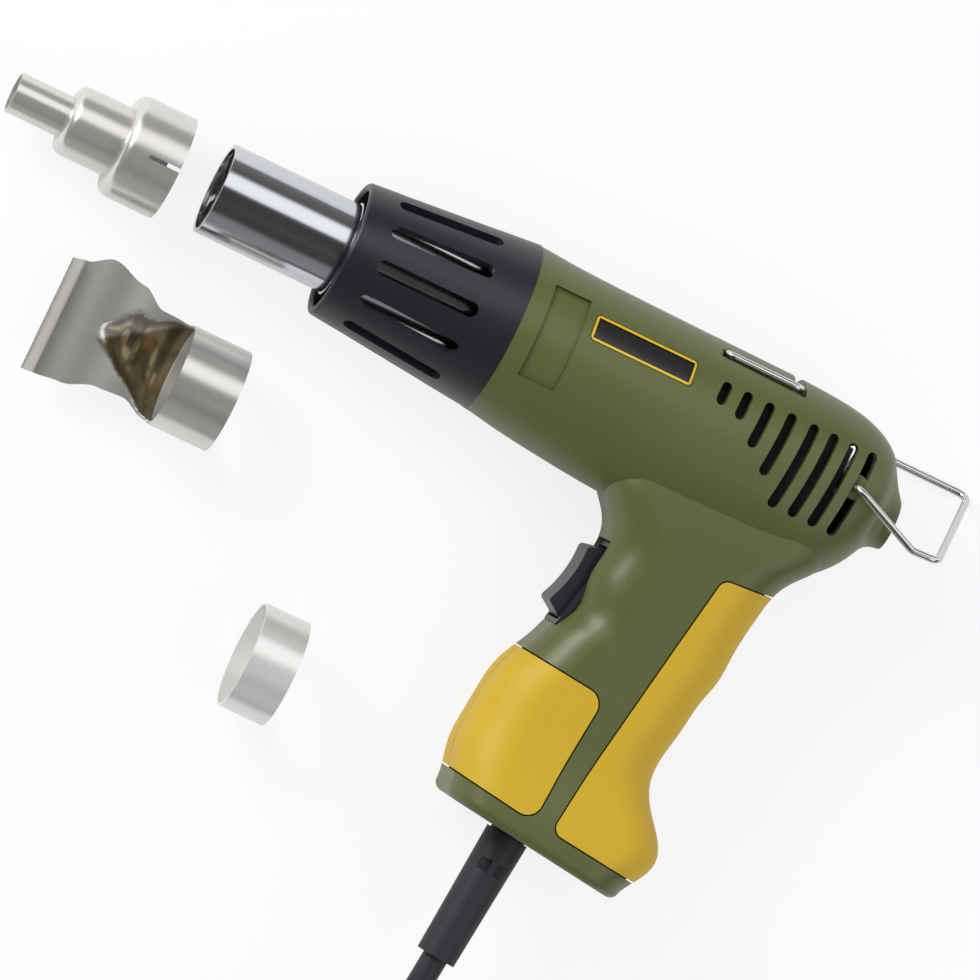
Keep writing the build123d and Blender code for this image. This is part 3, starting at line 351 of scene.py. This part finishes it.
# %% [markdown]
# ## Small finishes
# Mica is a pale, flaky mineral that holds the hot winding. The circuit board is a light
# brown resin sheet. The plate is bare: a glossy black field in a raised yellow border, and
# the two colours are told apart by how far the surface stands from the plate's middle.

# %% Mica, board and plate
mica = grained("mica", shade(170, 162, 144), shade(198, 192, 176), 0.35, 900, 0.00006, drift_scale=180)
board = grained("board", shade(150, 118, 72), shade(166, 132, 84), 0.45, 1200, 0.00003)

plate = Finish("plate", coat=0.4)
plate_corner, plate_size, border_width = (93.5, 6.1), (26.7, 6.0), 0.55
plate_middle = [start + size / 2 for start, size in zip(plate_corner, plate_size)]
plate_field = [size / 2 - border_width for size in plate_size]
over_end = (plate.axis("X") - plate_middle[0]).math("ABSOLUTE") > plate_field[0]
over_side = (plate.axis("Y") - plate_middle[1]).math("ABSOLUTE") > plate_field[1]
border = over_end.math("MAXIMUM", over_side)
plate_grain = plate.noise(900, 2)
plate.set("Base Color", plate.blend(border, shade(26, 26, 28), shade(222, 182, 30)))
plate.set("Roughness", 0.28 + plate_grain * 0.1)
plate.relief(plate_grain, 0.00001)

# %% [markdown]
# ## Pieces of thin sheet
# Four pieces are bent or cut from sheet too thin and too curled for a simple solid. Each
# starts as a flat primitive whose points are moved to their places, and the Solidify
# modifier then gives it the thickness of the real sheet.


# %% A thick sheet from moved points
def thicken(piece, thickness):
    """Give a sheet its thickness, with its place in its mesh and its faces turned outwards."""
    piece.data.transform(piece.matrix_world)
    piece.matrix_world = Matrix.Identity(4)
    modifier = piece.modifiers.new("thickness", "SOLIDIFY")
    modifier.thickness = thickness * mm
    modifier.offset = 0.0
    bpy.context.view_layer.objects.active = piece
    bpy.ops.object.modifier_apply(modifier="thickness")
    bpy.ops.object.select_all(action="DESELECT")
    piece.select_set(True)
    bpy.ops.object.mode_set(mode="EDIT")
    bpy.ops.mesh.select_all(action="SELECT")
    bpy.ops.mesh.remove_doubles(threshold=0.00001)
    bpy.ops.mesh.normals_make_consistent(inside=False)
    bpy.ops.object.mode_set(mode="OBJECT")
    bpy.ops.object.shade_smooth_by_angle(angle=radians(40))
    return piece


def between(table, way):
    """Read a table of (way, value) rows at a way between its rows, with a smooth run."""
    for (first, low), (last, high) in zip(table, table[1:]):
        if way <= last:
            share = max(0, (way - first) / (last - first))
            share = share * share * (3 - 2 * share)
            return low + (high - low) * share
    return table[-1][1]


# %% [markdown]
# ## The reflector nozzle
# Its round socket is cut away above, so that the lower wall runs on as a trough. The
# trough shallows into a plate, the plate narrows at a neck and widens to its end, and the
# end is turned up as a lip that throws the air back. A grid has rows along the piece and
# points across it, so the shape is two short tables: how wide and how deep at each row.

# %% Bend the reflector
socket_radius = 12.7
socket_length, socket_middle_x = 15.2, 18.5
sheet_thickness, lip_rise = 0.6, 0.9
reflector_axis = (trough_axis_y, -9.0)
sheet_start, sheet_end, lip_start = 12.5, -22.0, -18.6
half_widths = (
    (-22.0, 14.6), (-18.4, 14.8), (-12.0, 16.0), (-3.5, 13.4), (3.0, 11.4), (9.0, 12.5), (12.5, 12.7)
)
middles = ((-22.0, -43.8), (-18.4, -43.4), (-12.0, -41.5), (-3.5, -41.4), (3.0, -43.0), (10.0, -44.5))
plate_heights = ((-22.0, -13.6), (-18.4, -15.0), (-9.0, -13.2), (3.0, -10.4), (12.5, -9.0))
trough_widths = ((-9.5, 0.4), (0.0, 7.6), (9.0, 12.0), (12.5, 12.7))
trough_depths = ((-9.5, 0.0), (0.0, 6.8), (9.0, 12.0), (12.5, 12.7))
bpy.ops.object.select_all(action="DESELECT")
bpy.ops.mesh.primitive_grid_add(x_subdivisions=60, y_subdivisions=48, size=1, location=(0, 0, 0))
reflector_sheet = bpy.context.object
reflector_sheet.name = "reflector_sheet"
for point in reflector_sheet.data.vertices:
    share_along, share_across = point.co.x + 0.5, point.co.y * 2
    x = sheet_end + (sheet_start - sheet_end) * share_along
    side = between(half_widths, x) * sin(share_across * pi / 2)
    height = between(plate_heights, x)
    trough = between(trough_widths, x)
    if x > trough_widths[0][0] and abs(side) < trough:
        height -= between(trough_depths, x) * (1 - (side / trough) ** 2) ** 0.5
    if x < lip_start:
        height += (lip_start - x) * lip_rise
    point.co = Vector((x, between(middles, x) + side, height)) * mm
thicken(reflector_sheet, sheet_thickness)

# %% The reflector's socket
bpy.ops.object.select_all(action="DESELECT")
bpy.ops.mesh.primitive_cylinder_add(
    vertices=96, radius=socket_radius * mm, depth=socket_length * mm, end_fill_type="NOTHING",
    location=Vector((socket_middle_x, *reflector_axis)) * mm, rotation=(0, pi / 2, 0)
)
reflector_socket = bpy.context.object
reflector_socket.name = "reflector_socket"
thicken(reflector_socket, sheet_thickness)
bpy.ops.object.select_all(action="DESELECT")
reflector_socket.select_set(True)
reflector_sheet.select_set(True)
bpy.context.view_layer.objects.active = reflector_sheet
bpy.ops.object.join()
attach(reflector_sheet, "reflector")
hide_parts("reflector_nozzle")
print("reflector points", len(reflector_sheet.data.vertices))

# %% [markdown]
# ## The baffle in the mouth and the screens behind the vents
# A star of bright sheet in the mouth spreads the air round the mica. Dark sheets behind
# the vents are painted shade: they stand for the shade inside the housing and make the vents black.


# %% Flat pieces from an outline
def flat_piece(name, outline, thickness, body):
    """A flat sheet from the points of its outline, made by filling them in edit mode."""
    mesh = bpy.data.meshes.new(name)
    count = len(outline)
    mesh.from_pydata([Vector(point) * mm for point in outline], [(i, (i + 1) % count) for i in range(count)], [])
    piece = bpy.data.objects.new(name, mesh)
    bpy.context.scene.collection.objects.link(piece)
    bpy.ops.object.select_all(action="DESELECT")
    piece.select_set(True)
    bpy.context.view_layer.objects.active = piece
    bpy.ops.object.mode_set(mode="EDIT")
    bpy.ops.mesh.select_all(action="SELECT")
    bpy.ops.mesh.edge_face_add()
    bpy.ops.object.mode_set(mode="OBJECT")
    thicken(piece, thickness)
    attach(piece, body)
    return piece


star_arms, star_x, star_tip, star_waist = 10, 1.9, 10.6, 4.2
star_reach = (star_tip, star_tip, star_waist, star_waist)
star_points = []
for step in range(star_arms * 4):
    angle = tau * step / (star_arms * 4)
    reach = star_reach[step % 4]
    star_points.append((star_x, reach * cos(angle), reach * sin(angle)))
mouth_star = flat_piece("mouth_star", star_points, 0.4, "tool")
# Dark sheets behind the vents: painted shade inside the housing
shade_sheet_z = 12.9
shade_sheet_outline = ((126.0, -12.8), (164.2, -12.8), (164.2, 9.6), (156.0, 11.6), (126.0, 12.2))
vent_shade_sheets = []
for side in (1, -1):
    points = [(x, y, side * shade_sheet_z) for x, y in shade_sheet_outline]
    name = "vent_screen_left" if side > 0 else "vent_screen_right"
    vent_shade_sheets.append(flat_piece(name, points, 0.5, "tool"))
print("flat pieces", 1 + len(vent_shade_sheets))

# %% Give every carried-over node its finish
finishes = {
    "green_shell": green_shell,
    "yellow_grip": yellow_grip,
    "black_plastic": black_plastic,
    "black_rubber": black_rubber,
    "bright_tube": bright_tube,
    "bright_nozzle": bright_nozzle,
    "bright_wire": bright_wire,
    "screw_steel": screw_steel,
    "plate": plate,
    "mica": mica,
    "winding_wire": winding_wire,
    "board": board,
}
slot_of = {part["node"]: part["material_slot"] for part in frame["record"]["subparts"]}


def dress(piece, finish):
    piece.data.materials.clear()
    piece.data.materials.append(finish.material)


for name, node in nodes.items():
    dress(node, finishes[slot_of[name]])
dress(reflector_sheet, reflector_steel)
dress(mouth_star, bright_tube)
dress(nodes["wide_nozzle"], wide_steel)
# The vent sheets get the dark finish of painted shade
for screen in vent_shade_sheets:
    dress(screen, vent_shade_black)
dress(power_lead, black_rubber)
print("dressed", len(nodes))

# %% [markdown]
# ## The studio
# A pale floor carries the part and its soft shadow. What the camera and the metal see of
# the floor and the sky is white, as on a catalogue page, and that white comes from Light
# Path, not from more light. Polished metal looks like metal only when it has something
# dark to reflect, so the sky that it sees has a dark band, as dark cards give in a studio.

# %% Floor and backdrop
floor_gap = 0.0002
camera_glow, metal_glow = 0.82, 0.35
floor_height = cad_box[0].z - floor_gap
bpy.ops.object.select_all(action="DESELECT")
bpy.ops.mesh.primitive_plane_add(size=40, location=(0.09, -0.15, floor_height))
floor = bpy.context.object
floor.name = "studio_floor"
paper = Finish("studio_paper")
paper.set("Base Color", shade(244, 244, 244))
paper.set("Roughness", 0.9)
light_path = paper.node("ShaderNodeLightPath", {}, {}, "Is Camera Ray")
seen = light_path.socket.node.outputs
straight = Value(paper, seen["Is Camera Ray"]).math("MAXIMUM", Value(paper, seen["Is Transmission Ray"]))
glossy = Value(paper, seen["Is Glossy Ray"])
glow = paper.node("ShaderNodeEmission", {}, {"Color": (1, 1, 1, 1), "Strength": 1.0})
glow_share = straight * camera_glow + glossy * metal_glow
lit_paper = Value(paper, paper.shader.outputs[0])
mix = paper.node("ShaderNodeMixShader", {}, {0: glow_share, 1: lit_paper, 2: glow})
paper.tree.links.new(mix.socket, paper.tree.nodes["Material Output"].inputs["Surface"])
dress(floor, paper)

# %% Sky
world = bpy.data.worlds.new("studio_sky")
bpy.context.scene.world = world
world.use_nodes = True
sky_tree = world.node_tree
sky_tree.nodes.clear()


class Sky(Finish):
    """The world's node tree, written with the same sums."""

    def __init__(self, tree):
        self.tree = tree


sky = Sky(sky_tree)
seen = sky.node("ShaderNodeLightPath", {}, {}).socket.node.outputs
plain = Value(sky, seen["Is Camera Ray"]).math("MAXIMUM", Value(sky, seen["Is Transmission Ray"]))
glossy = Value(sky, seen["Is Glossy Ray"])
direction = sky.node("ShaderNodeTexCoord", {}, {}, "Generated")
side_way = sky.node("ShaderNodeSeparateXYZ", {}, {0: direction}, "Y")
card_stops = (
    (0.0, 0.30),
    (0.075, 0.26),
    (0.125, 0.06),
    (0.61, 0.05),
    (0.65, 1.3),
    (0.86, 1.3),
    (0.91, 0.08),
    (1.0, 0.2),
)
band = sky.node("ShaderNodeValToRGB", {"stops": card_stops}, {0: side_way * 0.5 + 0.5})
ambient = 0.55
strength = plain + (1 - plain) * (glossy * band + (1 - glossy) * ambient)
background = sky.node("ShaderNodeBackground", {}, {"Color": (1, 1, 1, 1), "Strength": strength})
world_output = sky_tree.nodes.new("ShaderNodeOutputWorld")
sky_tree.links.new(background.socket, world_output.inputs["Surface"])


# %% Lamps
def softbox(name, place, target, size, power):
    """A square soft light at a place, turned to its target."""
    data = bpy.data.lights.new(name, "AREA")
    data.size = size
    data.energy = power
    lamp = bpy.data.objects.new(name, data)
    bpy.context.scene.collection.objects.link(lamp)
    lamp.location = place
    lamp.rotation_mode = "QUATERNION"
    lamp.rotation_quaternion = (Vector(target) - Vector(place)).to_track_quat("-Z", "Y")
    return lamp


def beside(up, right, forward):
    """A place beside the picture's centre, in metres along the camera's three axes."""
    return picture_centre + image_up * up + image_right * right + to_camera * forward


softbox("key_softbox", beside(0.65, -0.45, 0.7), picture_centre, 0.45, 7.0)
softbox("fill_softbox", beside(-0.6, 0.7, 0.8), picture_centre, 0.9, 3.0)
bpy.context.scene.view_settings.view_transform = "Standard"
